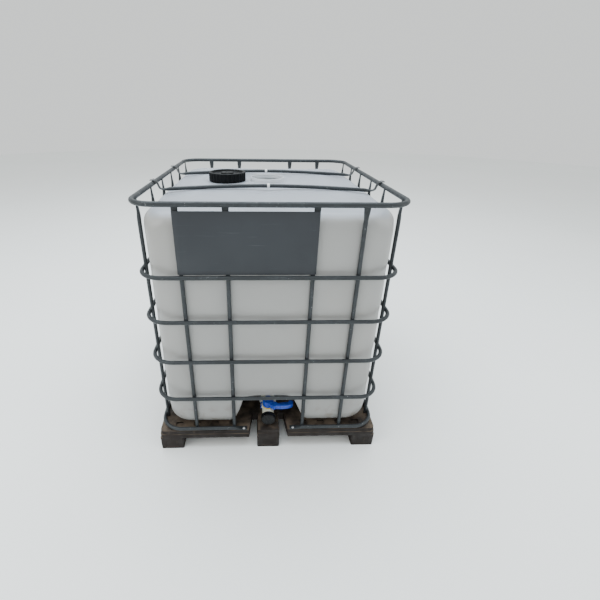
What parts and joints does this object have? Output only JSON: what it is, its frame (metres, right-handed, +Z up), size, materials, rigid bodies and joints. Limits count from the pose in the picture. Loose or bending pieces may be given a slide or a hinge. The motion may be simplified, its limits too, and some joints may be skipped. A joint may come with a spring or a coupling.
{
  "type": "intermediate bulk container",
  "caption": "Translucent plastic bulk tank in a tube cage on a plastic pallet, with an open neck, a loose lid and a lever outlet valve.",
  "frame": {"origin": "centre of the pallet's footprint, on the floor", "axes": "+Z up, -Y is the front with the outlet valve, +X is to the right seen from the front"},
  "size_m": [1, 1.2, 1.1649],
  "materials": {
    "pallet_plastic": "brown-black injection-moulded plastic, dusty and scuffed",
    "galvanised_tube": "dull dark zinc-coated tube",
    "bottle_plastic": "white translucent blow-moulded polyethylene",
    "black_plastic": "black moulded plastic, satin to glossy",
    "rubber": "black seal rubber",
    "plate_steel": "dark grey coated sheet",
    "zinc_fastener": "bright zinc-plated steel",
    "white_band": "white plastic band",
    "valve_plastic": "cream-white moulded plastic",
    "nut_plastic": "translucent natural plastic",
    "blue_plastic": "bright blue glossy plastic",
    "yellow_plastic": "yellow plastic"
  },
  "bodies": {
    "container": {"pallet": "pallet_plastic", "bottle": "bottle_plastic", "top_rim": "galvanised_tube", "cage_ring_1": "galvanised_tube", "cage_ring_2": "galvanised_tube", "cage_ring_3": "galvanised_tube", "cage_ring_4": "galvanised_tube", "bottom_rail": "galvanised_tube", "front_upright_1": "galvanised_tube", "front_upright_2": "galvanised_tube", "front_upright_3": "galvanised_tube", "front_upright_4": "galvanised_tube", "rear_upright_1": "galvanised_tube", "rear_upright_2": "galvanised_tube", "rear_upright_3": "galvanised_tube", "rear_upright_4": "galvanised_tube", "left_upright_1": "galvanised_tube", "left_upright_2": "galvanised_tube", "left_upright_3": "galvanised_tube", "left_upright_4": "galvanised_tube", "left_upright_5": "galvanised_tube", "left_upright_6": "galvanised_tube", "right_upright_1": "galvanised_tube", "right_upright_2": "galvanised_tube", "right_upright_3": "galvanised_tube", "right_upright_4": "galvanised_tube", "right_upright_5": "galvanised_tube", "right_upright_6": "galvanised_tube", "crossbar_front": "galvanised_tube", "crossbar_rear": "galvanised_tube", "crossbar_band_front": "white_band", "crossbar_band_rear": "white_band", "crossbar_bolt_1": "zinc_fastener", "crossbar_bolt_2": "zinc_fastener", "crossbar_bolt_3": "zinc_fastener", "crossbar_bolt_4": "zinc_fastener", "label_plate": "plate_steel", "rail_screw_1": "zinc_fastener", "rail_screw_2": "zinc_fastener", "rail_screw_3": "zinc_fastener", "rail_screw_4": "zinc_fastener", "rail_screw_5": "zinc_fastener", "rail_screw_6": "zinc_fastener", "rail_screw_7": "zinc_fastener", "rail_screw_8": "zinc_fastener", "valve_body": "valve_plastic", "outlet_gasket": "rubber", "hub_seal": "yellow_plastic"},
    "union_nut": {"union_nut": "nut_plastic"},
    "lid": {"lid": "black_plastic", "lid_gasket": "rubber"},
    "vent_plug": {"vent_plug": "black_plastic", "vent_gasket": "rubber"},
    "valve_lever": {"valve_lever": "blue_plastic", "valve_stem": "zinc_fastener", "butterfly_disc": "black_plastic"},
    "valve_latch": {"valve_latch": "blue_plastic"},
    "dust_cap": {"dust_cap": "black_plastic", "cap_gasket": "rubber"}
  },
  "joints": [
    {"name": "lid_lift", "type": "slide", "parent": "container", "child": "lid", "axis": [0, 0, 1], "range_m": [0, 0.3]},
    {"name": "vent_plug_lift", "type": "slide", "parent": "lid", "child": "vent_plug", "axis": [0, 0, 1], "range_m": [0, 0.05]},
    {"name": "lever_turn", "type": "hinge", "parent": "container", "child": "valve_lever", "pos_m": [0, -0.512, 0.15], "axis": [0, 0, -1], "range_deg": [0, 90]},
    {"name": "latch_flex", "type": "hinge", "parent": "container", "child": "valve_latch", "pos_m": [-0.0305, -0.499, 0.15], "axis": [0, 0, -1], "range_deg": [0, 12], "stiffness_Nm_per_rad": 0.2},
    {"name": "dust_cap_pull", "type": "slide", "parent": "container", "child": "dust_cap", "axis": [0, -1, 0], "range_m": [0, 0.06]},
    {"name": "union_nut_turn", "type": "hinge", "parent": "container", "child": "union_nut", "pos_m": [0, -0.45, 0.15], "axis": [0, 1, 0], "range_deg": [0, 360]}
  ]
}
